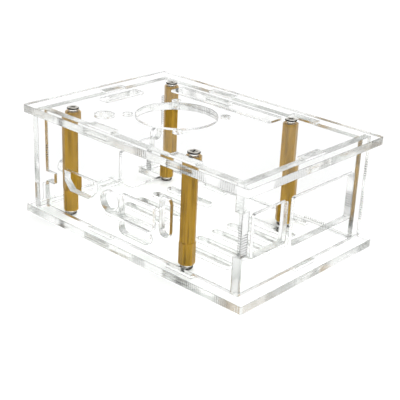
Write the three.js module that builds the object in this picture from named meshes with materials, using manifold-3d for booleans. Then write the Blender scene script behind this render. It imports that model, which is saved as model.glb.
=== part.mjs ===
// Clear laser-cut enclosure for a credit-card-size single board computer.
// Six acrylic panels held by four brass standoff stacks and eight thin-head screws.
// Millimetres. +X along the long side, +Y to the back, +Z up, z = 0 under the feet.
import * as THREE from 'three';
import { mergeVertices } from 'three/addons/utils/BufferGeometryUtils.js';
import Module from 'manifold-3d';

const wasm = await Module();
wasm.setup();

// ---------- driving dimensions ----------
const SHEET = 2.8;             // thickness of the acrylic sheet
const FIT = 0.15;              // play between a tab and the slot or wall beside it
const PLATE_X = 104;           // top and bottom plate, long side
const PLATE_Y = 70;            // top and bottom plate, short side
const PLATE_RADIUS = 0.8;      // plate corner radius
const BOX_X = 95;              // outside length over the two end walls
const BOX_Y = 62.7;            // outside depth over the two long walls
const LOWER_LENGTH = 8;        // short standoff under the board
const UPPER_LENGTH = 27;       // long standoff above the board
const STACK_PLAY = 0.1;        // play between the stack and the top plate

// board mounting pattern
const HOLE_PITCH_X = 58;
const HOLE_PITCH_Y = 49;
const FIRST_HOLE_X = -37;
const FIRST_HOLE_Y = -24.7;
const SCREW_HOLE_RADIUS = 1.45;

// hardware
const HEX_ACROSS_FLATS = 5;
const HEX_CHAMFER = 0.45;
const HEX_OVERLAP = 0.02;      // the turned chamfer's radius past the hex corners
const THREAD_RADIUS = 1.15;
const TIP_CHAMFER = 0.3;       // on the end of a thread
const BORE_RADIUS = 1.35;
const BORE_DEPTH = 9;
const STUD_LENGTH = 4.3;
const HEAD_RADIUS = 2.15;
const HEAD_HEIGHT = 0.65;
const HEAD_FLAT_RADIUS = 1.55;
const SHANK_LENGTH = 6;
const RECESS_SPAN = 2.6;
const RECESS_WIDTH = 0.55;
const RECESS_DEPTH = 0.45;

// turn of each stack's pieces, in radians: the first stack's, and what each next one adds
const LOWER_TURN = { first: 0, step: 0.3 };
const UPPER_TURN = { first: 0.2, step: 0.4 };
const TOP_SCREW_TURN = { first: 0, step: 0.5 };
const BOTTOM_SCREW_TURN = { first: 0, step: 0.35 };

// facets
const ROUND_STEPS = 28;        // round a whole circle
const LARGE_RADIUS = 8;        // a larger circle takes twice as many
const CORNER_STEPS = 5;        // round a quarter turn

// ---------- derived levels and planes ----------
const INNER_HEIGHT = LOWER_LENGTH + UPPER_LENGTH + STACK_PLAY;
const BOTTOM_PLATE_Z = HEAD_HEIGHT;
const FLOOR_Z = BOTTOM_PLATE_Z + SHEET;
const TOP_PLATE_Z = FLOOR_Z + INNER_HEIGHT;
const WALL_Z = FLOOR_Z + FIT;
const WALL_HEIGHT = INNER_HEIGHT - 2 * FIT;
const INNER_X = BOX_X / 2 - SHEET;
const INNER_Y = BOX_Y / 2 - SHEET;
const EAR = SHEET;             // length by which an end wall runs past one long wall

// plate tabs: where each starts and ends along its wall
const LONG_TABS = [[-21, -10], [17, 28]];
const END_TABS = [[-2.5, 7.5]];
const CARD_SIDE_TABS = [[-2.5, 5.5]];   // the left wall's lower ones, short of its opening

// wall to wall joints, heights above the wall's lower edge
const FINGER = { from: 13, to: 27.5 };
const THROUGH_TAB = { from: 2.5, to: 8.5 };
const RELIEF = { from: 10.1, to: 13.8, depth: 4.6 };

// left wall and the plate under it
const CARD_FROM = 7.2;         // the memory card's opening along Y
const CARD_TO = 23.2;
const CARD_NOTCH_X = -38.6;    // how far in the plate's notch reaches
const SIDE_HOLE = { height: 13.2, radius: 2.4 };

// ---------- materials ----------
const acrylic = new THREE.MeshStandardMaterial({
  color: 0xf2f6f3, roughness: 0.06, metalness: 0, transparent: true, opacity: 0.3,
});
const brass = new THREE.MeshStandardMaterial({ color: 0xb98a36, roughness: 0.35, metalness: 1 });
const steel = new THREE.MeshStandardMaterial({ color: 0xc8c8c6, roughness: 0.25, metalness: 1 });

// ---------- solid helpers ----------
function toSolid(geometry) {
  geometry.deleteAttribute('normal');
  geometry.deleteAttribute('uv');
  const merged = mergeVertices(geometry, 1e-4);
  return new wasm.Manifold(new wasm.Mesh({
    numProp: 3,
    vertProperties: new Float32Array(merged.attributes.position.array),
    triVerts: new Uint32Array(merged.index.array),
  }));
}

function toGeometry(solid) {
  const mesh = solid.getMesh();
  const geometry = new THREE.BufferGeometry();
  geometry.setAttribute('position', new THREE.BufferAttribute(mesh.vertProperties, 3));
  geometry.setIndex(new THREE.BufferAttribute(mesh.triVerts, 1));
  geometry.computeVertexNormals();
  return geometry;
}

// a round solid about Z from a profile of [radius, height] points
function turned(profile) {
  const points = profile.map(([radius, height]) => new THREE.Vector2(radius, height));
  return new THREE.LatheGeometry(points, ROUND_STEPS).rotateX(Math.PI / 2);
}

function rod(radius, low, high) {
  return toSolid(turned([[0, low], [radius, low], [radius, high], [0, high]]));
}

function prism(loop, low, high) {
  const geometry = new THREE.ExtrudeGeometry(
    new THREE.Shape(loop), { depth: high - low, bevelEnabled: false },
  );
  return toSolid(geometry.translate(0, 0, low));
}

// a panel of the acrylic sheet: its outer loop less the loops cut out of it
function cutFromSheet(outer, holes) {
  const overrun = 1;
  let panel = prism(outer, 0, SHEET);
  for (const hole of holes) {
    panel = panel.subtract(prism(hole, -overrun, SHEET + overrun));
  }
  return toGeometry(panel);
}

// ---------- flat outlines ----------
// Each outline is a loop of points that doesn't repeat its first point.
function arc(x, y, radius, from, to, steps) {
  const points = [];
  for (let step = 0; step <= steps; step += 1) {
    const angle = from + ((to - from) * step) / steps;
    points.push(new THREE.Vector2(x + radius * Math.cos(angle), y + radius * Math.sin(angle)));
  }
  return points;
}

function roundedRectangle(x0, y0, x1, y1, radius) {
  const quarter = Math.PI / 2;
  return [
    ...arc(x1 - radius, y0 + radius, radius, -quarter, 0, CORNER_STEPS),
    ...arc(x1 - radius, y1 - radius, radius, 0, quarter, CORNER_STEPS),
    ...arc(x0 + radius, y1 - radius, radius, quarter, 2 * quarter, CORNER_STEPS),
    ...arc(x0 + radius, y0 + radius, radius, 2 * quarter, 3 * quarter, CORNER_STEPS),
  ];
}

function outline(pairs) {
  return pairs.map(([x, y]) => new THREE.Vector2(x, y));
}

function rectangle(x0, y0, x1, y1) {
  return outline([[x0, y0], [x1, y0], [x1, y1], [x0, y1]]);
}

function circle(x, y, radius) {
  const steps = radius > LARGE_RADIUS ? 2 * ROUND_STEPS : ROUND_STEPS;
  return arc(x, y, radius, 0, 2 * Math.PI, steps).slice(0, -1);
}

// a rectangle whose two lower corners are cut off at 45 degrees
function chamferedRectangle(x0, y0, x1, y1, chamfer) {
  return outline([
    [x0 + chamfer, y0], [x1 - chamfer, y0], [x1, y0 + chamfer],
    [x1, y1], [x0, y1], [x0, y0 + chamfer],
  ]);
}

// A wall's outline: u along the wall, v up from its lower edge. A step is a part
// of an end that stands out of it (out > 0) or is cut into it (out < 0).
function wallOutline({ low, high, lowSteps, highSteps, floorTabs, roofTabs }) {
  const points = [[low, 0]];
  for (const [from, to] of floorTabs) {
    points.push([from, 0], [from, -SHEET], [to, -SHEET], [to, 0]);
  }
  points.push([high, 0]);
  for (const step of highSteps) {
    points.push([high, step.from], [high + step.out, step.from]);
    points.push([high + step.out, step.to], [high, step.to]);
  }
  points.push([high, WALL_HEIGHT]);
  for (const [from, to] of roofTabs.toReversed()) {
    points.push([to, WALL_HEIGHT], [to, WALL_HEIGHT + SHEET]);
    points.push([from, WALL_HEIGHT + SHEET], [from, WALL_HEIGHT]);
  }
  points.push([low, WALL_HEIGHT]);
  for (const step of lowSteps.toReversed()) {
    points.push([low, step.to], [low - step.out, step.to]);
    points.push([low - step.out, step.from], [low, step.from]);
  }
  return outline(points);
}

// ---------- joints between the walls ----------
const fingerTab = { ...FINGER, out: SHEET + FIT };
const throughTab = { ...THROUGH_TAB, out: SHEET + FIT };
const reliefNotch = { from: RELIEF.from, to: RELIEF.to, out: -RELIEF.depth };
const fingerNotch = { from: FINGER.from - FIT, to: FINGER.to + FIT, out: -SHEET - FIT };
const longEnd = INNER_X - FIT;
const flushEnd = BOX_Y / 2;

// the slot in the left wall that the front wall's through tab fills
function slotForThroughTab() {
  const { from, to } = THROUGH_TAB;
  return rectangle(-INNER_Y - SHEET - FIT, from - FIT, -INNER_Y + FIT, to + FIT);
}

function frontWall() {
  const outer = wallOutline({
    low: -longEnd,
    high: longEnd,
    lowSteps: [throughTab, reliefNotch],
    highSteps: [fingerTab],
    floorTabs: LONG_TABS,
    roofTabs: LONG_TABS,
  });
  return cutFromSheet(outer, [
    chamferedRectangle(-34, 10.3, -18.3, 17.3, 3),          // power port
    circle(-11.3, 12.6, 3.8),                               // round port
    roundedRectangle(-5.8, 8.8, 10.2, 17.3, 1),             // display ports
    roundedRectangle(-5.8, 3, 9, 7.6, 2.2),                 // air slot under them
    roundedRectangle(13.2, 8.8, 17.9, 22.8, 2.3),           // upright audio slot
  ]);
}

function backWall() {
  const outer = wallOutline({
    low: -longEnd,
    high: longEnd,
    lowSteps: [fingerTab],
    highSteps: [],
    floorTabs: LONG_TABS,
    roofTabs: LONG_TABS,
  });
  return cutFromSheet(outer, []);
}

function rightWall() {
  const outer = wallOutline({
    low: -flushEnd,
    high: flushEnd + EAR,
    lowSteps: [fingerNotch],
    highSteps: [],
    floorTabs: END_TABS,
    roofTabs: END_TABS,
  });
  return cutFromSheet(outer, [
    roundedRectangle(-25.6, 11.3, -9.5, 25.7, 0.8),         // network socket
    roundedRectangle(-6.3, 8.9, 26.8, 25.7, 0.8),           // two stacks of data sockets
  ]);
}

// the card opening runs out through the wall's lower edge, over the plate's notch
function leftWall() {
  const outer = wallOutline({
    low: -flushEnd - EAR,
    high: flushEnd,
    lowSteps: [],
    highSteps: [fingerNotch],
    floorTabs: CARD_SIDE_TABS,
    roofTabs: END_TABS,
  });
  return cutFromSheet(outer, [
    roundedRectangle(CARD_FROM, -SHEET, CARD_TO, 11.8, 0.8),
    circle(24.8, SIDE_HOLE.height, SIDE_HOLE.radius),
    circle(-20.6, SIDE_HOLE.height, SIDE_HOLE.radius),
    slotForThroughTab(),
  ]);
}

// ---------- plates ----------
function tabSlots(leftTabs) {
  const slots = [];
  const half = SHEET / 2 + FIT;
  for (const side of [-1, 1]) {
    const y = side * (INNER_Y + SHEET / 2);
    const x = side * (INNER_X + SHEET / 2);
    for (const [from, to] of LONG_TABS) {
      slots.push(rectangle(from - FIT, y - half, to + FIT, y + half));
    }
    for (const [from, to] of side < 0 ? leftTabs : END_TABS) {
      slots.push(rectangle(x - half, from - FIT, x + half, to + FIT));
    }
  }
  return slots;
}

const stations = [];
for (const [front, y] of [['front', FIRST_HOLE_Y], ['back', FIRST_HOLE_Y + HOLE_PITCH_Y]]) {
  for (const [left, x] of [['left', FIRST_HOLE_X], ['right', FIRST_HOLE_X + HOLE_PITCH_X]]) {
    stations.push({ name: `${front}_${left}`, x, y });
  }
}

function plate(ownHoles, leftTabs) {
  const [x, y] = [PLATE_X / 2, PLATE_Y / 2];
  const outer = roundedRectangle(-x, -y, x, y, PLATE_RADIUS);
  const screwHoles = stations.map((station) => circle(station.x, station.y, SCREW_HOLE_RADIUS));
  return cutFromSheet(outer, [...tabSlots(leftTabs), ...screwHoles, ...ownHoles]);
}

const FAN = { x: -8.7, y: -1.9, radius: 14.3, boltPitch: 24, boltRadius: 1.6 };

function topPlate() {
  const holes = [
    circle(FAN.x, FAN.y, FAN.radius),
    roundedRectangle(-31, 17.6, 17.2, 24.6, 0.6),      // pin header
    roundedRectangle(-40.2, -9.8, -35.6, 8.2, 0.6),    // flat display cable
    circle(-25.3, -20.5, 3.4),                         // status light
  ];
  for (const sx of [-0.5, 0.5]) {
    for (const sy of [-0.5, 0.5]) {
      const x = FAN.x + sx * FAN.boltPitch;
      const y = FAN.y + sy * FAN.boltPitch;
      holes.push(circle(x, y, FAN.boltRadius));
    }
  }
  return plate(holes, END_TABS);
}

const VENT = { rows: 5, pitch: 8, y: 0.5, width: 3.2, columns: [[-28, -6], [10, 32.3]] };

function bottomPlate() {
  // the card notch runs out through the plate's left edge
  const notch = roundedRectangle(-PLATE_X, CARD_FROM, CARD_NOTCH_X, CARD_TO, 0.8);
  const holes = [notch];
  const half = VENT.width / 2;
  const endRadius = half - 0.05;
  for (let row = 0; row < VENT.rows; row += 1) {
    const y = VENT.y + (row - (VENT.rows - 1) / 2) * VENT.pitch;
    for (const [x0, x1] of VENT.columns) {
      holes.push(roundedRectangle(x0, y - half, x1, y + half, endRadius));
    }
  }
  return plate(holes, CARD_SIDE_TABS);
}

// ---------- hardware ----------
function hexBar(length) {
  const cornerRadius = HEX_ACROSS_FLATS / Math.sqrt(3);
  const bar = new THREE.CylinderGeometry(cornerRadius, cornerRadius, length, 6);
  bar.rotateX(Math.PI / 2).translate(0, 0, length / 2);
  const endRadius = cornerRadius - HEX_CHAMFER;
  const outside = cornerRadius + HEX_OVERLAP;
  const shaped = turned([
    [0, 0], [endRadius, 0], [outside, HEX_CHAMFER],
    [outside, length - HEX_CHAMFER], [endRadius, length], [0, length],
  ]);
  return toSolid(bar).intersect(toSolid(shaped));
}

function lowerStandoff() {
  const bore = rod(BORE_RADIUS, -1, LOWER_LENGTH + 1);
  return toGeometry(hexBar(LOWER_LENGTH).subtract(bore));
}

function upperStandoff() {
  const stud = toSolid(turned([
    [0, -STUD_LENGTH], [THREAD_RADIUS - TIP_CHAMFER, -STUD_LENGTH],
    [THREAD_RADIUS, -STUD_LENGTH + TIP_CHAMFER], [THREAD_RADIUS, 1], [0, 1],
  ]));
  const bore = rod(BORE_RADIUS, UPPER_LENGTH - BORE_DEPTH, UPPER_LENGTH + 1);
  return toGeometry(hexBar(UPPER_LENGTH).add(stud).subtract(bore));
}

function thinHeadScrew() {
  const profile = [[0, -SHANK_LENGTH], [THREAD_RADIUS - TIP_CHAMFER, -SHANK_LENGTH]];
  profile.push([THREAD_RADIUS, -SHANK_LENGTH + TIP_CHAMFER], [THREAD_RADIUS, 0], [HEAD_RADIUS, 0]);
  const crown = HEAD_RADIUS - HEAD_FLAT_RADIUS;
  const crownSteps = 5;
  for (let step = 0; step <= crownSteps; step += 1) {
    const angle = (step / crownSteps) * (Math.PI / 2);
    const radius = HEAD_FLAT_RADIUS + crown * Math.cos(angle);
    profile.push([radius, HEAD_HEIGHT - crown + crown * Math.sin(angle)]);
  }
  profile.push([0, HEAD_HEIGHT]);
  let screw = toSolid(turned(profile));
  for (const [x, y] of [[RECESS_SPAN, RECESS_WIDTH], [RECESS_WIDTH, RECESS_SPAN]]) {
    const arm = new THREE.BoxGeometry(x, y, 2 * RECESS_DEPTH).translate(0, 0, HEAD_HEIGHT);
    screw = screw.subtract(toSolid(arm));
  }
  return toGeometry(screw);
}

// ---------- assembly ----------
const part = new THREE.Group();

function place(name, geometry, material, x, y, z) {
  const mesh = new THREE.Mesh(geometry, material.clone());
  mesh.name = name;
  mesh.position.set(x, y, z);
  part.add(mesh);
  return mesh;
}

place('bottom_plate', bottomPlate(), acrylic, 0, 0, BOTTOM_PLATE_Z);
place('top_plate', topPlate(), acrylic, 0, 0, TOP_PLATE_Z);

// u runs along +X and the sheet's thickness along -Y
for (const [name, geometry, y] of [
  ['front_wall', frontWall(), -INNER_Y],
  ['back_wall', backWall(), INNER_Y + SHEET],
]) {
  place(name, geometry, acrylic, 0, y, WALL_Z).rotation.x = Math.PI / 2;
}

// u runs along +Y and the sheet's thickness along +X
const upAlongY = new THREE.Matrix4().makeBasis(
  new THREE.Vector3(0, 1, 0), new THREE.Vector3(0, 0, 1), new THREE.Vector3(1, 0, 0),
);
for (const [name, geometry, x] of [
  ['right_wall', rightWall(), INNER_X],
  ['left_wall', leftWall(), -INNER_X - SHEET],
]) {
  place(name, geometry, acrylic, x, 0, WALL_Z).quaternion.setFromRotationMatrix(upAlongY);
}

// each stack stands at its own chance angle, as hand-tightened hardware does
function turnOf({ first, step }, index) {
  return first + step * index;
}

stations.forEach(({ name, x, y }, index) => {
  const lower = place(`lower_standoff_${name}`, lowerStandoff(), brass, x, y, FLOOR_Z);
  const upper = place(`upper_standoff_${name}`, upperStandoff(), brass, x, y, FLOOR_Z + LOWER_LENGTH);
  const top = place(`top_screw_${name}`, thinHeadScrew(), steel, x, y, TOP_PLATE_Z + SHEET);
  const bottom = place(`bottom_screw_${name}`, thinHeadScrew(), steel, x, y, BOTTOM_PLATE_Z);
  lower.rotation.z = turnOf(LOWER_TURN, index);
  upper.rotation.z = turnOf(UPPER_TURN, index);
  top.rotation.z = turnOf(TOP_SCREW_TURN, index);
  bottom.rotation.set(Math.PI, 0, turnOf(BOTTOM_SCREW_TURN, index));
});

export default part;
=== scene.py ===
import math

import bmesh
import bpy
from mathutils import Matrix, Vector
from mathutils.geometry import tessellate_polygon


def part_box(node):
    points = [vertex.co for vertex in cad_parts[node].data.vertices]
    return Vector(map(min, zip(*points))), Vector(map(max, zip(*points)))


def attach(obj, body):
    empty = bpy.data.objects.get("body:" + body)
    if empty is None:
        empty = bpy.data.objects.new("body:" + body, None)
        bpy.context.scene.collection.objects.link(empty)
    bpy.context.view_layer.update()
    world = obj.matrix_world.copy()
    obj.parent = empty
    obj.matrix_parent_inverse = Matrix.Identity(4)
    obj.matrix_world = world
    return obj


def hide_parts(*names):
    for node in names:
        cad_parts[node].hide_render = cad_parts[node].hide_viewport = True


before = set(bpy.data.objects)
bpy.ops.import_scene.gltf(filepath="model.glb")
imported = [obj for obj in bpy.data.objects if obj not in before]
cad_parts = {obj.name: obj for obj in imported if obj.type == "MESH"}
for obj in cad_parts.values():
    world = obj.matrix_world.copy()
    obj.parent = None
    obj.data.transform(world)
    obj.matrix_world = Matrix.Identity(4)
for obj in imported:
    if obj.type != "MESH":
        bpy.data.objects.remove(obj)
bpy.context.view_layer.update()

MM = 0.001

# ---------- sizes, in metres ----------
STATIONS = ("front_left", "front_right", "back_left", "back_right")
SHEETS = ("bottom_plate", "top_plate", "front_wall", "back_wall", "left_wall", "right_wall")
SHEET_BODIES = {"bottom_plate": "base", "top_plate": "lid"}
SHEET_THICKNESS = 2.8 * MM
UPWARD = 0.9                     # a normal's share along the sheet's thickness on its upper face
CUT_EDGE_RADIUS = 0.13 * MM      # melt rounding that the laser leaves on a cut
PAINTED_RIM_LINE_WIDTH = 0.16 * MM           # the painted dark line along each rim of a cut, standing in for shade
SHARP_CORNER = 35                # degrees that an outline turns at a corner shaded sharp
FLAT_RADIUS = 2.5 * MM           # half the hex bar's width across its flats
CORNER_RADIUS = 2.82 * MM        # the hex bar's corners, drawn slightly round
THREAD_PITCH = 0.45 * MM
FLANK_SLOPE, FLANK_START = 1.6, 0.3   # of the thread's flat-topped profile
STUD_CREST, STUD_ROOT = 1.14 * MM, 0.93 * MM
BORE_CREST, BORE_ROOT = 1.36 * MM, 1.55 * MM
BORE_DEPTH = 9 * MM              # of a long standoff's bore, with its cone
BORE_CONE = 0.8 * MM             # the drill's cone at the bore's end
MOUTH_DEPTH = 0.22 * MM          # of the countersink at a bore's mouth
END_CHAMFER_RADIUS = 2.42 * MM   # where the hex bar's turned end chamfer starts
END_CHAMFER_SLOPE = math.tan(math.radians(30))
HEAD_RADIUS = 2.15 * MM
HEAD_HEIGHT = 0.65 * MM
HEAD_SHOULDER = 0.42 * MM        # the rounding of the head's rim
HEAD_CROWN = 0.10 * MM           # how far the head's middle stands above its shoulder
RIM_CHAMFER = 0.05 * MM          # under the head
RECESS_HALF_SPAN = 1.3 * MM
RECESS_HALF_WIDTH = 0.36 * MM
RECESS_DEPTH = 0.48 * MM
RECESS_TAPER = 0.62              # the recess's floor is this share of its mouth
CUT_OVER = 0.1 * MM              # how far the recess's cutter stands out of the head
ANGLE_STEPS = 24                 # round a thread's turn
TURN_STEPS = 8                   # along a thread's pitch
BAR_STEPS = 96                   # round a hex bar or a screw head

# the turn that each stack's pieces were left at
LOWER_TURN, UPPER_FIRST_TURN, UPPER_TURN = 0.3, 0.2, 0.4
TOP_SCREW_TURN, BOTTOM_SCREW_TURN = 0.5, 0.35

# ---------- looks: lengths in metres, noise scales per metre ----------
ACRYLIC_IOR = 1.49
MOST_REFLECTIONS = 2.5           # inside one sheet, before a ray is let out
MOST_BOUNCES = 8.5               # of any kind
FACE_GLARE = (0.25, 0.25, 0.25, 1)
FULL_REFLECTION = 0.9            # above this share a ray is held inside the sheet
GLARE_TAKEN_OFF = 0.75           # of a face's partial reflections, as a polariser would
FACE_TINT = (0.97, 0.974, 0.970, 1)
FACE_CALM_TINT = (0.982, 0.984, 0.982, 1)
FACE_SHADE = (0.96, 0.965, 0.96, 1)      # what is left of lamp light behind a face
HAIR_SCRATCHES = (               # turn, and noise scale along each axis
    ((0.1, 0.2, 0.5), (40, 900, 40)),
    ((0.9, 0.3, 1.9), (60, 60, 1100)),
)
SCRATCH_CUT = (0.74, 0.80)
SCRATCH_ROUGHNESS = 0.05
HAZE_SCALE, HAZE_ROUGHNESS = 90.0, 0.015
WAVE_SCALE, WAVE_HEIGHT = 35.0, 0.4 * MM
COARSE_PITCH, FINE_PITCH = 0.85 * MM, 0.22 * MM   # of the laser's ripples
RIPPLE_DRIFT, RIPPLE_HEIGHT = 0.6 * MM, 0.07 * MM
# painted reflection: dark hatching on the cut edges, in place of the striations that reflections inside
# the sheet show
HATCH_CUT, HATCH_DARKNESS = (0.54, 0.58), 0.65
# painted shade: how dark the line along each rim of a cut is painted
PAINTED_RIM_LINE_DARKNESS = 0.45
EDGE_CLEAN = (0.96, 0.965, 0.955, 1)
EDGE_DULL = (0.90, 0.91, 0.895, 1)
EDGE_SHADE = (0.90, 0.91, 0.90, 1)
# the dark colour that paints the hatching and the rim lines on the cut edges
PAINTED_DARK_LINES = (0.10, 0.10, 0.095, 1)
BRASS_BASE = (0.24, 0.122, 0.009, 1)
BRASS_TARNISH = (0.085, 0.038, 0.004, 1)
BRASS_STREAK = (0.45, 0.255, 0.022, 1)
BRASS_RUBBED = (0.50, 0.30, 0.05, 1)
BRASS_SPECK = (0.12, 0.07, 0.02, 1)
DRAW_LINE_HEIGHT = 0.02 * MM
NICKEL_BRIGHT = (0.62, 0.60, 0.55, 1)
NICKEL_DULL = (0.42, 0.40, 0.36, 1)
# painted shade: the first colour darkens the screw head's recess; the second paints a dark reflection
# round the head's rim and shade deep in the recess
NICKEL_RECESS_SHADE = (0.10, 0.095, 0.08, 1)
NICKEL_PAINTED_DARK = (0.045, 0.042, 0.035, 1)
TURNING_HEIGHT = 0.01 * MM

# ---------- stage ----------
FLOOR_HALF = 3.0
FLOOR_COLOUR = (0.93, 0.93, 0.93, 1)
STUDIO_WALLS, STUDIO_CEILING = (1.15, 1.15, 1.15, 1), (0.25, 0.25, 0.26, 1)
SEEN_WALLS = (0.98, 0.98, 0.98, 1)
WALLS_END, CEILING_STARTS = 0.5, 0.75   # heights on the unit sphere
SOFTBOX_ENERGY, SOFTBOX_ANGLE = 1.9, 60
SOFTBOX_TILT = (-14, 10, 0)
CAMERA_AT = Vector((0.2019, -0.2221, 0.14065))
CAMERA_AZIMUTH, CAMERA_ELEVATION, CAMERA_ROLL = 41.96, 23.28, 2.59
CAMERA_LENS, SENSOR_WIDTH = 82.87, 36.0


# ---------- node helpers ----------
class Nodes:
    """A short way to build one material's node tree."""

    def __init__(self, name):
        self.material = bpy.data.materials.new(name)
        self.material.use_nodes = True
        self.tree = self.material.node_tree
        self.tree.nodes.clear()

    def add(self, kind, inputs=(), **settings):
        node = self.tree.nodes.new("ShaderNode" + kind)
        for key, value in settings.items():
            setattr(node, key, value)
        for key, value in dict(inputs).items():
            if isinstance(value, bpy.types.NodeSocket):
                self.tree.links.new(value, node.inputs[key])
            else:
                node.inputs[key].default_value = value
        return node

    def math(self, operation, a, b=0.0):
        return self.add("Math", {0: a, 1: b}, operation=operation).outputs[0]

    def mix(self, factor, a, b):
        node = self.add("Mix", {0: factor, 6: a, 7: b}, data_type="RGBA")
        return node.outputs[2]

    def blend(self, factor, first, second):
        """Two shaders mixed: the first at 0, the second at 1."""
        node = self.add("MixShader", {0: factor})
        self.tree.links.new(first, node.inputs[1])
        self.tree.links.new(second, node.inputs[2])
        return node.outputs[0]

    def ramp(self, value, low, high, out_low=0.0, out_high=1.0):
        node = self.add("MapRange", {0: value, 1: low, 2: high, 3: out_low, 4: out_high})
        return node.outputs[0]

    def noise(self, vector, scale, detail=2.0, roughness=0.5):
        inputs = {"Vector": vector, "Scale": scale, "Detail": detail, "Roughness": roughness}
        return self.add("TexNoise", inputs).outputs[0]

    def stretched(self, vector, scale, turn=(0, 0, 0)):
        return self.add("Mapping", {"Vector": vector, "Rotation": turn, "Scale": scale}).outputs[0]

    def surface(self, shader):
        out = self.add("OutputMaterial")
        self.tree.links.new(shader, out.inputs["Surface"])
        return self.material


def place_in(n):
    """A position in metres that stays with the piece."""
    return n.add("TexCoord").outputs["Object"]


def clear_to_lamps(n, glass, tint):
    """Lets lamps shine through the sheet, tinted, so that it throws only a faint shadow.

    A ray that has been thrown to and fro in the sheet leaves it the same way, rather than end black."""
    path = n.add("LightPath")
    trapped = n.math("GREATER_THAN", path.outputs["Glossy Depth"], MOST_REFLECTIONS)
    deep = n.math("GREATER_THAN", path.outputs["Ray Depth"], MOST_BOUNCES)
    through = n.math("MAXIMUM", path.outputs["Is Shadow Ray"], n.math("MAXIMUM", trapped, deep))
    clear = n.add("BsdfTransparent", {"Color": tint})
    return n.blend(through, glass, clear.outputs[0])


def acrylic_face():
    """The sheet's own polished face: nearly perfect, with hair scratches and a trace of haze."""
    n = Nodes("acrylic_face")
    at = place_in(n)
    scratches = None
    for turn, stretch in HAIR_SCRATCHES:
        lines = n.noise(n.stretched(at, stretch, turn), 1.0, 1.0)
        thin = n.ramp(lines, *SCRATCH_CUT)
        scratches = thin if scratches is None else n.math("MAXIMUM", scratches, thin)
    haze = n.ramp(n.noise(at, HAZE_SCALE, 3.0), 0.45, 0.8, 0.0, HAZE_ROUGHNESS)
    rough = n.math("ADD", haze, n.math("MULTIPLY", scratches, SCRATCH_ROUGHNESS))
    wave = n.noise(at, WAVE_SCALE, 1.0)
    height = n.math("ADD", n.math("MULTIPLY", wave, 0.5), n.math("MULTIPLY", scratches, -0.06))
    bump = n.add("Bump", {"Strength": 0.05, "Distance": WAVE_HEIGHT, "Height": height})
    glass = n.add("BsdfPrincipled", {
        "Base Color": FACE_TINT, "Roughness": rough, "IOR": ACRYLIC_IOR,
        "Transmission Weight": 1.0, "Specular Tint": FACE_GLARE, "Normal": bump.outputs[0],
    })
    calm = n.add("BsdfRefraction", {
        "Color": FACE_CALM_TINT, "Roughness": rough, "IOR": ACRYLIC_IOR,
        "Normal": bump.outputs[0],
    })
    mirrored = n.add("Fresnel", {"IOR": ACRYLIC_IOR}).outputs[0]
    partly = n.math("LESS_THAN", mirrored, FULL_REFLECTION)
    softened = n.blend(n.math("MULTIPLY", partly, GLARE_TAKEN_OFF), glass.outputs[0], calm.outputs[0])
    return n.surface(clear_to_lamps(n, softened, FACE_SHADE))


def acrylic_edge():
    """A laser-cut edge: glossy melt with ripples across the sheet; painted dark hatching in patches
    stands in for the striations of light reflected inside the sheet, and a painted dark line along each
    rim stands in for shade.

    Its UV map holds the way along the cut and the height in the sheet, both in metres."""
    n = Nodes("acrylic_edge")
    cut = n.add("UVMap", uv_map="cut").outputs[0]
    parts = n.add("SeparateXYZ", {0: cut})
    along, across = parts.outputs[0], parts.outputs[1]
    wander = n.noise(n.stretched(cut, (900, 500, 1)), 1.0, 2.0)
    drift = n.math("MULTIPLY", n.noise(n.stretched(cut, (60, 200, 1)), 1.0, 1.0), RIPPLE_DRIFT)
    drifted = n.math("ADD", along, drift)
    coarse = n.math("SINE", n.math("MULTIPLY", drifted, 2 * math.pi / COARSE_PITCH))
    fine = n.math("SINE", n.math("MULTIPLY", drifted, 2 * math.pi / FINE_PITCH))
    patch = n.ramp(n.noise(n.stretched(cut, (110, 60, 1)), 1.0, 2.0), 0.38, 0.62)
    height = n.math("ADD", n.math("MULTIPLY", n.math("MULTIPLY", coarse, 0.5), patch),
                    n.math("ADD", n.math("MULTIPLY", fine, 0.08), wander))
    bump = n.add("Bump", {"Strength": 0.8, "Distance": RIPPLE_HEIGHT, "Height": height})
    rough = n.ramp(wander, 0.3, 0.7, 0.03, 0.18)
    tint = n.mix(patch, EDGE_CLEAN, EDGE_DULL)
    # painted reflection: dark stripes on the ripples, in patches, standing in for the striations of
    # light reflected inside the sheet
    painted_hatch_patches = n.ramp(n.noise(n.stretched(cut, (75, 30, 1), (0, 0, 0.4)), 1.0, 1.0), *HATCH_CUT)
    painted_striations = n.math("MULTIPLY", n.ramp(coarse, -0.1, 0.4), painted_hatch_patches)
    # painted shade: a dark line along each rim of the cut
    far_rim = SHEET_THICKNESS - PAINTED_RIM_LINE_WIDTH
    low_painted_rim_line = n.ramp(across, PAINTED_RIM_LINE_WIDTH, 0.5 * PAINTED_RIM_LINE_WIDTH, 0.0, PAINTED_RIM_LINE_DARKNESS)
    high_painted_rim_line = n.ramp(across, far_rim, far_rim + 0.5 * PAINTED_RIM_LINE_WIDTH, 0.0, PAINTED_RIM_LINE_DARKNESS)
    painted_rim_lines = n.math("MAXIMUM", low_painted_rim_line, high_painted_rim_line)
    painted_dark_share = n.math("MAXIMUM", n.math("MULTIPLY", painted_striations, HATCH_DARKNESS), painted_rim_lines)
    # a dark diffuse shader that paints the hatching and the rim lines
    painted_dark_lines_shader = n.add("BsdfDiffuse", {"Color": PAINTED_DARK_LINES})
    glass = n.add("BsdfPrincipled", {
        "Base Color": tint, "Roughness": rough, "IOR": ACRYLIC_IOR,
        "Transmission Weight": 1.0, "Normal": bump.outputs[0],
    })
    with_painted_dark_lines = n.blend(painted_dark_share, glass.outputs[0], painted_dark_lines_shader.outputs[0])
    return n.surface(clear_to_lamps(n, with_painted_dark_lines, EDGE_SHADE))


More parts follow.
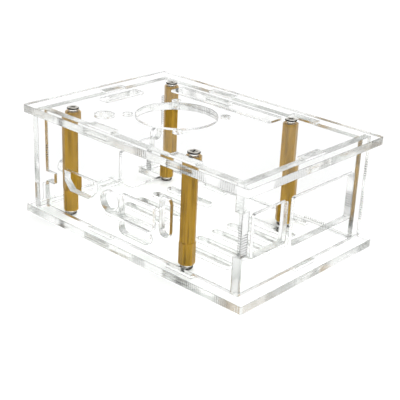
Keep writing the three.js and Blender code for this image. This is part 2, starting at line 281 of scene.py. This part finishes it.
def brass():
    """Drawn brass hex bar: long draw lines, darker tarnish in patches, brighter rubbed corners."""
    n = Nodes("brass")
    at = place_in(n)
    lines = n.noise(n.stretched(at, (9000, 9000, 60)), 1.0, 3.0, 0.6)
    streaks = n.noise(n.stretched(at, (1200, 1200, 45)), 1.0, 3.0, 0.7)
    patches = n.noise(n.stretched(at, (420, 420, 160)), 1.0, 4.0, 0.6)
    specks = n.ramp(n.noise(at, 2600.0, 2.0), 0.66, 0.74)
    worn = n.ramp(n.add("NewGeometry").outputs["Pointiness"], 0.52, 0.60)
    base = n.mix(n.ramp(patches, 0.43, 0.58), BRASS_BASE, BRASS_TARNISH)
    drawn = n.mix(n.ramp(streaks, 0.43, 0.57, 0.0, 0.9), base, BRASS_STREAK)
    rubbed = n.mix(n.math("MULTIPLY", worn, 0.6), drawn, BRASS_RUBBED)
    colour = n.mix(n.math("MULTIPLY", specks, 0.35), rubbed, BRASS_SPECK)
    rough = n.math("ADD", n.ramp(lines, 0.25, 0.75, 0.24, 0.40),
                   n.ramp(patches, 0.35, 0.68, 0.0, 0.10))
    bump = n.add("Bump", {"Strength": 0.35, "Distance": DRAW_LINE_HEIGHT, "Height": lines})
    metal = n.add("BsdfPrincipled", {
        "Base Color": colour, "Metallic": 1.0, "Roughness": rough, "Anisotropic": 0.35,
        "Normal": bump.outputs[0],
    })
    return n.surface(metal.outputs[0])


def screw_steel():
    """Nickel-plated steel: bright, with turning marks; a painted dark reflection round the head's rim,
    and painted shade in the recess, patchy over its span and darkest deep down.
    """
    n = Nodes("screw_steel")
    at = place_in(n)
    turned = n.noise(n.stretched(at, (600, 600, 16000)), 1.0, 2.0)
    cloud = n.noise(at, 1500.0, 3.0)
    plate = n.mix(n.ramp(cloud, 0.4, 0.7), NICKEL_BRIGHT, NICKEL_DULL)
    parts = n.add("SeparateXYZ", {0: at}).outputs
    outward = n.math("SQRT", n.math("ADD", n.math("POWER", parts[0], 2.0),
                                    n.math("POWER", parts[1], 2.0)))
    # painted reflection: a dark ring near the head's outer edge
    rim = n.ramp(outward, HEAD_RADIUS - 0.30 * MM, HEAD_RADIUS - 0.12 * MM)
    # painted shade deep in the recess: below its mouth and inside its span
    below = n.ramp(parts[2], HEAD_HEIGHT - 0.14 * MM, HEAD_HEIGHT - 0.26 * MM)
    painted_recess_shade = n.math("MULTIPLY", below, n.ramp(outward, RECESS_HALF_SPAN + 0.10 * MM, RECESS_HALF_SPAN))
    # painted shade over the recess's span, patchy with lighter spots
    painted_dish_shade = n.ramp(outward, RECESS_HALF_SPAN + 0.15 * MM, RECESS_HALF_SPAN - 0.05 * MM, 0.0, 0.7)
    shade_patches = n.ramp(n.noise(at, 2200.0, 2.0), 0.46, 0.54, 0.35, 1.0)
    with_recess_shade = n.mix(n.math("MULTIPLY", painted_dish_shade, shade_patches), plate, NICKEL_RECESS_SHADE)
    colour = n.mix(n.math("MAXIMUM", rim, painted_recess_shade), with_recess_shade, NICKEL_PAINTED_DARK)
    rough = n.math("ADD", n.ramp(turned, 0.3, 0.7, 0.08, 0.16), n.ramp(cloud, 0.4, 0.7, 0.0, 0.08))
    bump = n.add("Bump", {"Strength": 0.25, "Distance": TURNING_HEIGHT, "Height": turned})
    metal = n.add("BsdfPrincipled", {
        "Base Color": colour, "Metallic": 1.0, "Roughness": rough, "Normal": bump.outputs[0],
    })
    return n.surface(metal.outputs[0])


FACE, EDGE, BRASS, STEEL = acrylic_face(), acrylic_edge(), brass(), screw_steel()


# ---------- sheets ----------
def outlines(mesh, thin):
    """The closed outlines of a sheet's upper face, each with the material on its left."""
    bm = bmesh.new()
    bm.from_mesh(mesh)
    bmesh.ops.remove_doubles(bm, verts=bm.verts, dist=1e-6)
    bm.normal_update()
    upper = [f for f in bm.faces if f.normal[thin] > UPWARD]   # a list: every run takes the same order
    in_upper = set(upper)
    after = {}
    for face in upper:
        for loop in face.loops:
            if all(f is face or f not in in_upper for f in loop.edge.link_faces):
                after[loop.vert] = loop.link_loop_next.vert
    u, v = (thin + 1) % 3, (thin + 2) % 3
    found = []
    while after:
        start = next(iter(after))
        ring, at = [], start
        while at in after:
            ring.append(Vector((at.co[u], at.co[v])))
            at = after.pop(at)
        found.append(without_straight_corners(ring))
    bm.free()
    return found


def without_straight_corners(ring):
    kept = []
    for i, corner in enumerate(ring):
        before = (corner - ring[i - 1]).normalized()
        ahead = (ring[(i + 1) % len(ring)] - corner).normalized()
        if abs(before.cross(ahead)) > 1e-3 or before.dot(ahead) < 0:
            kept.append(corner)
    return kept


def moved_inward(ring, by):
    """The outline moved into the material, with mitred corners."""
    moved = []
    for i, corner in enumerate(ring):
        before = (corner - ring[i - 1]).normalized()
        ahead = (ring[(i + 1) % len(ring)] - corner).normalized()
        left_before = Vector((-before.y, before.x))
        left_ahead = Vector((-ahead.y, ahead.x))
        mitre = (left_before + left_ahead) / (1 + left_before.dot(left_ahead))
        moved.append(corner + mitre * by)
    return moved


def sheet(name):
    """A sheet with its cut edges rounded over, made from the outlines of its CAD node."""
    low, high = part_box(name)
    thin = min(range(3), key=lambda axis: high[axis] - low[axis])
    u, v = (thin + 1) % 3, (thin + 2) % 3
    rings_2d = outlines(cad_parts[name].data, thin)
    slope = 1 - math.sqrt(0.5)
    r = CUT_EDGE_RADIUS
    profile = [
        (r, high[thin]), (slope * r, high[thin] - slope * r), (0, high[thin] - r),
        (0, low[thin] + r), (slope * r, low[thin] + slope * r), (r, low[thin]),
    ]

    bm = bmesh.new()
    uv = bm.loops.layers.uv.new("cut")

    def point(flat, height):
        at = Vector((0, 0, 0))
        at[u], at[v], at[thin] = flat.x, flat.y, height
        return at

    caps = {0: [], len(profile) - 1: []}
    for ring in rings_2d:
        made = []
        for inward, height in profile:
            made.append([bm.verts.new(point(p, height)) for p in moved_inward(ring, inward)])
        for end in caps:
            caps[end].append(made[end])
        travelled = 0.0
        for i, corner in enumerate(ring):
            j = (i + 1) % len(ring)
            reached = travelled + (ring[j] - corner).length
            for k in range(len(profile) - 1):
                quad = (made[k][i], made[k + 1][i], made[k + 1][j], made[k][j])
                face = bm.faces.new(quad)
                face.material_index = 1
                face.smooth = True
                heights = (profile[k][1], profile[k + 1][1], profile[k + 1][1], profile[k][1])
                lengths = (travelled, travelled, reached, reached)
                for loop, length, height in zip(face.loops, lengths, heights):
                    loop[uv].uv = (length, height - low[thin])
            travelled = reached
        for k in (0, 2, 3, 5):
            for i in range(len(ring)):
                edge = bm.edges.get((made[k][i], made[k][(i + 1) % len(ring)]))
                edge.smooth = False
        for i, corner in enumerate(ring):
            before = (corner - ring[i - 1]).normalized()
            ahead = (ring[(i + 1) % len(ring)] - corner).normalized()
            if before.dot(ahead) < math.cos(math.radians(SHARP_CORNER)):
                for k in range(len(profile) - 1):
                    bm.edges.get((made[k][i], made[k + 1][i])).smooth = False

    for loops in caps.values():
        flat = [vert for loop in loops for vert in loop]
        for triple in tessellate_polygon([[vert.co for vert in loop] for loop in loops]):
            face = bm.faces.new([flat[i] for i in triple])
            face.material_index = 0
            for loop in face.loops:
                loop[uv].uv = (loop.vert.co[u], loop.vert.co[v])
    bmesh.ops.recalc_face_normals(bm, faces=bm.faces)

    mesh = bpy.data.meshes.new(f"{name}_acrylic")
    bm.to_mesh(mesh)
    bm.free()
    mesh.materials.append(FACE)
    mesh.materials.append(EDGE)
    piece = bpy.data.objects.new(f"{name}_acrylic", mesh)
    bpy.context.scene.collection.objects.link(piece)
    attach(piece, SHEET_BODIES.get(name, "wall_frame"))
    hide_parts(name)
    return piece


# ---------- threads ----------
def thread(bm, low, high, crest, root, inside=False):
    """A helical thread from low to high. Returns its end rings, lowest first.

    At both ends its radius runs out to the root on a rod, or to the bore's mouth when inside."""
    turns = math.ceil((high - low) / THREAD_PITCH) + 1
    rows = []
    for j in range(turns * TURN_STEPS + 1):
        row = []
        for i in range(ANGLE_STEPS):
            climb = (j / TURN_STEPS + i / ANGLE_STEPS - 1) * THREAD_PITCH
            z = min(max(low + climb, low), high)
            phase = abs((j / TURN_STEPS) % 1 - 0.5) * 2
            share = min(max(phase * FLANK_SLOPE - FLANK_START, 0), 1)
            radius = root + (crest - root) * share
            from_end = min(z - low, high - z)
            if inside:
                radius = max(radius, root - from_end)
            else:
                radius = min(radius, root + from_end)
            angle = 2 * math.pi * i / ANGLE_STEPS
            row.append(bm.verts.new((radius * math.cos(angle), radius * math.sin(angle), z)))
        rows.append(row)
    for j in range(len(rows) - 1):
        for i in range(ANGLE_STEPS):
            if i + 1 < ANGLE_STEPS:
                quad = (rows[j][i], rows[j][i + 1], rows[j + 1][i + 1], rows[j + 1][i])
            elif j + 1 + TURN_STEPS < len(rows):
                next_turn = j + TURN_STEPS
                quad = (rows[j][i], rows[next_turn][0], rows[next_turn + 1][0], rows[j + 1][i])
            else:
                continue
            bm.faces.new(quad).smooth = True
    return rows


def lathe(bm, profile, steps=ANGLE_STEPS, smooth=True):
    """A surface turned from (radius, z) points; a radius may be a function of the angle."""
    rows = []
    for radius, z in profile:
        row = []
        for i in range(steps):
            angle = 2 * math.pi * i / steps
            r = radius(angle) if callable(radius) else radius
            h = z(angle) if callable(z) else z
            row.append(bm.verts.new((r * math.cos(angle), r * math.sin(angle), h)))
        rows.append(row)
    for lower, upper in zip(rows, rows[1:]):
        for i in range(steps):
            j = (i + 1) % steps
            bm.faces.new((lower[i], lower[j], upper[j], upper[i])).smooth = smooth
    return rows


def tidy(bm, sharp_degrees=32):
    bmesh.ops.remove_doubles(bm, verts=bm.verts, dist=2e-7)
    bmesh.ops.dissolve_degenerate(bm, edges=bm.edges, dist=2e-7)
    bmesh.ops.recalc_face_normals(bm, faces=bm.faces)
    for edge in bm.edges:
        if len(edge.link_faces) == 2 and edge.calc_face_angle(0) > math.radians(sharp_degrees):
            edge.smooth = False


def bar_radius(angle):
    """The hex bar's radius at an angle, with its corners drawn round."""
    from_flat = (angle + math.pi / 6) % (math.pi / 3) - math.pi / 6
    return min(FLAT_RADIUS / math.cos(from_flat), CORNER_RADIUS)


def chamfer_drop(angle):
    return (bar_radius(angle) - END_CHAMFER_RADIUS) * END_CHAMFER_SLOPE


def hex_bar(bm, low, high, bore_low, bore_high):
    """A hex bar with turned end chamfers; bore_low and bore_high say which ends are open."""
    mouth = BORE_ROOT + MOUTH_DEPTH
    profile = []
    if bore_low:
        profile += [(BORE_ROOT, low + mouth - BORE_ROOT), (mouth, low)]
    profile += [(END_CHAMFER_RADIUS, low), (bar_radius, lambda a: low + chamfer_drop(a))]
    profile += [(bar_radius, lambda a: high - chamfer_drop(a)), (END_CHAMFER_RADIUS, high)]
    if bore_high:
        profile += [(mouth, high), (BORE_ROOT, high - mouth + BORE_ROOT)]
    return lathe(bm, profile, BAR_STEPS)


def bore(bm, low, high, closed):
    """A threaded bore, joined to the bar's countersinks at its open ends."""
    thread(bm, low, high, BORE_CREST, BORE_ROOT, inside=True)
    if closed:
        lathe(bm, [(0.0, low - BORE_CONE), (BORE_ROOT, low)])


def finished(bm, name, material):
    tidy(bm)
    mesh = bpy.data.meshes.new(name)
    bm.to_mesh(mesh)
    bm.free()
    mesh.materials.append(material)
    return mesh


def lower_standoff(length):
    bm = bmesh.new()
    hex_bar(bm, 0, length, True, True)
    bore(bm, MOUTH_DEPTH, length - MOUTH_DEPTH, False)
    return finished(bm, "lower_standoff_brass", BRASS)


def upper_standoff(length, stud_length, bore_depth):
    bm = bmesh.new()
    hex_bar(bm, 0, length, False, True)
    lathe(bm, [(STUD_ROOT, 0), (END_CHAMFER_RADIUS, 0)], BAR_STEPS)
    bore(bm, length - bore_depth + BORE_CONE, length - MOUTH_DEPTH, True)
    thread(bm, -stud_length, 0, STUD_CREST, STUD_ROOT)
    lathe(bm, [(0.0, -stud_length), (STUD_ROOT, -stud_length)])
    return finished(bm, "upper_standoff_brass", BRASS)


def dome_height(radius):
    """The thin head's crown: a shallow dome over a tight shoulder."""
    inner = HEAD_RADIUS - HEAD_SHOULDER
    if radius <= inner:
        return HEAD_HEIGHT - HEAD_CROWN * (radius / inner) ** 2
    share = (radius - inner) / HEAD_SHOULDER
    base = HEAD_HEIGHT - HEAD_CROWN - HEAD_SHOULDER
    return base + HEAD_SHOULDER * math.sqrt(max(1 - share * share, 0))


def thin_head_screw(shank_length):
    """A cross-recess thin-head screw, its bearing face at z 0 and its head upward."""
    bm = bmesh.new()
    shoulder_steps, crown_steps = 10, 12
    rim = HEAD_RADIUS - HEAD_SHOULDER
    radii = [rim * i / crown_steps for i in range(crown_steps + 1)]
    for i in range(1, shoulder_steps + 1):
        radii.append(rim + HEAD_SHOULDER * math.sin(math.pi / 2 * i / shoulder_steps))
    profile = [(radius, dome_height(radius)) for radius in radii]
    profile += [(HEAD_RADIUS, RIM_CHAMFER), (HEAD_RADIUS - RIM_CHAMFER, 0), (0.0, 0)]
    lathe(bm, profile, BAR_STEPS)
    tidy(bm, 40)
    head = bpy.data.meshes.new("screw_head")
    bm.to_mesh(head)
    bm.free()

    bm = bmesh.new()
    for x, y in ((RECESS_HALF_SPAN, RECESS_HALF_WIDTH), (RECESS_HALF_WIDTH, RECESS_HALF_SPAN)):
        wedge = bmesh.ops.create_cube(bm, size=2)["verts"]
        for vert in wedge:
            top = vert.co.z > 0
            narrow = 1 + CUT_OVER / RECESS_DEPTH * (1 - RECESS_TAPER) if top else RECESS_TAPER
            vert.co.x *= x * narrow
            vert.co.y *= y * narrow
            vert.co.z = HEAD_HEIGHT + CUT_OVER if top else HEAD_HEIGHT - RECESS_DEPTH
    floor_at = HEAD_HEIGHT - RECESS_DEPTH
    lathe(bm, [
        (0.0, floor_at - 0.08 * MM), (0.36 * MM, floor_at + 0.08 * MM),
        (0.60 * MM, HEAD_HEIGHT + CUT_OVER), (0.0, HEAD_HEIGHT + CUT_OVER),
    ], 16)
    bmesh.ops.remove_doubles(bm, verts=bm.verts, dist=1e-8)
    bmesh.ops.recalc_face_normals(bm, faces=bm.faces)
    cutter = bpy.data.meshes.new("recess_cutter")
    bm.to_mesh(cutter)
    bm.free()
    mesh = cut(head, cutter)

    bm = bmesh.new()
    bm.from_mesh(mesh)
    thread(bm, -shank_length, -0.001 * MM, STUD_CREST, STUD_ROOT)
    lathe(bm, [(0.0, -shank_length), (STUD_ROOT, -shank_length)])
    for face in bm.faces:
        face.smooth = True
    return finished(bm, "thin_head_screw_steel", STEEL)


def cut(mesh, cutter):
    """mesh less cutter, as a new mesh."""
    block = bpy.data.objects.new("cut_block", mesh)
    tool = bpy.data.objects.new("cut_tool", cutter)
    for each in (block, tool):
        bpy.context.scene.collection.objects.link(each)
    taking = block.modifiers.new("cut", "BOOLEAN")
    taking.operation = "DIFFERENCE"
    taking.solver = "EXACT"
    taking.use_self = True
    taking.object = tool
    bpy.context.view_layer.update()
    graph = bpy.context.evaluated_depsgraph_get()
    result = bpy.data.meshes.new_from_object(block.evaluated_get(graph), depsgraph=graph)
    for each in (block, tool):
        bpy.data.objects.remove(each)
    return result


# ---------- hardware in its place ----------
def put(name, mesh, at, turn, body, slot):
    piece = bpy.data.objects.new(f"{name}_{slot}", mesh)
    bpy.context.scene.collection.objects.link(piece)
    piece.location = at
    piece.rotation_euler = turn
    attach(piece, body)
    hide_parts(name)
    return piece


for name in SHEETS:
    sheet(name)

lower_low, lower_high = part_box("lower_standoff_front_left")
upper_low, upper_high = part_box("upper_standoff_front_left")
top_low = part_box("top_screw_front_left")[0]
plate_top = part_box("top_plate")[1].z
plate_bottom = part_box("bottom_plate")[0].z
LOWER_MESH = lower_standoff(lower_high.z - lower_low.z)
UPPER_MESH = upper_standoff(upper_high.z - lower_high.z, lower_high.z - upper_low.z, BORE_DEPTH)
SCREW_MESH = thin_head_screw(plate_top - top_low.z)

for i, station in enumerate(STATIONS):
    low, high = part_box(f"lower_standoff_{station}")
    x, y = (low.x + high.x) / 2, (low.y + high.y) / 2
    put(f"lower_standoff_{station}", LOWER_MESH, (x, y, low.z), (0, 0, LOWER_TURN * i), "base", "brass")
    put(f"upper_standoff_{station}", UPPER_MESH, (x, y, high.z),
        (0, 0, UPPER_FIRST_TURN + UPPER_TURN * i), f"upper_standoff_{station}", "brass")
    put(f"top_screw_{station}", SCREW_MESH, (x, y, plate_top),
        (0, 0, TOP_SCREW_TURN * i), f"top_screw_{station}", "screw_steel")
    put(f"bottom_screw_{station}", SCREW_MESH, (x, y, plate_bottom),
        (math.pi, 0, BOTTOM_SCREW_TURN * i), f"bottom_screw_{station}", "screw_steel")

# ---------- floor, light and camera ----------
floor_mesh = bpy.data.meshes.new("floor")
corners = [(x * FLOOR_HALF, y * FLOOR_HALF, 0) for x, y in ((-1, -1), (1, -1), (1, 1), (-1, 1))]
floor_mesh.from_pydata(corners, [], [(0, 1, 2, 3)])
floor = bpy.data.objects.new("floor", floor_mesh)
bpy.context.scene.collection.objects.link(floor)
n = Nodes("floor_paper")
paper = n.add("BsdfDiffuse", {"Color": FLOOR_COLOUR})
open_below = n.add("BsdfTransparent", {"Color": (1, 1, 1, 1)})   # the underside can be seen
beneath = n.add("NewGeometry").outputs["Backfacing"]
floor_mesh.materials.append(n.surface(n.blend(beneath, paper.outputs[0], open_below.outputs[0])))

world = bpy.data.worlds.new("studio")
bpy.context.scene.world = world
world.use_nodes = True
tree = world.node_tree
tree.nodes.clear()
background = tree.nodes.new("ShaderNodeBackground")
direction = tree.nodes.new("ShaderNodeTexCoord")
parts = tree.nodes.new("ShaderNodeSeparateXYZ")
height = tree.nodes.new("ShaderNodeMapRange")
shade = tree.nodes.new("ShaderNodeMix")
shade.data_type = "RGBA"
out = tree.nodes.new("ShaderNodeOutputWorld")
tree.links.new(direction.outputs["Generated"], parts.inputs[0])
tree.links.new(parts.outputs["Z"], height.inputs[0])
height.interpolation_type = "SMOOTHSTEP"
height.inputs[1].default_value = WALLS_END
height.inputs[2].default_value = CEILING_STARTS
tree.links.new(height.outputs[0], shade.inputs[0])
shade.inputs[6].default_value = STUDIO_WALLS
shade.inputs[7].default_value = STUDIO_CEILING
seen = tree.nodes.new("ShaderNodeMix")
seen.data_type = "RGBA"
path = tree.nodes.new("ShaderNodeLightPath")
tree.links.new(path.outputs["Is Camera Ray"], seen.inputs[0])
tree.links.new(shade.outputs[2], seen.inputs[6])
seen.inputs[7].default_value = SEEN_WALLS
tree.links.new(seen.outputs[2], background.inputs["Color"])
tree.links.new(background.outputs[0], out.inputs[0])
bpy.context.scene.view_settings.view_transform = "Standard"


softbox_data = bpy.data.lights.new("softbox", "SUN")
softbox_data.energy = SOFTBOX_ENERGY
softbox_data.angle = math.radians(SOFTBOX_ANGLE)
softbox = bpy.data.objects.new("softbox", softbox_data)
softbox.rotation_euler = [math.radians(angle) for angle in SOFTBOX_TILT]
bpy.context.scene.collection.objects.link(softbox)

camera_data = bpy.data.cameras.new("camera")
camera_data.lens = CAMERA_LENS
camera_data.sensor_width = SENSOR_WIDTH
camera_data.clip_start = 0.01
camera = bpy.data.objects.new("camera", camera_data)
look = (
    Matrix.Rotation(math.radians(CAMERA_AZIMUTH), 4, "Z")
    @ Matrix.Rotation(math.radians(90 - CAMERA_ELEVATION), 4, "X")
    @ Matrix.Rotation(math.radians(CAMERA_ROLL), 4, "Z")
)
camera.matrix_world = Matrix.Translation(CAMERA_AT) @ look
bpy.context.scene.collection.objects.link(camera)
bpy.context.scene.camera = camera
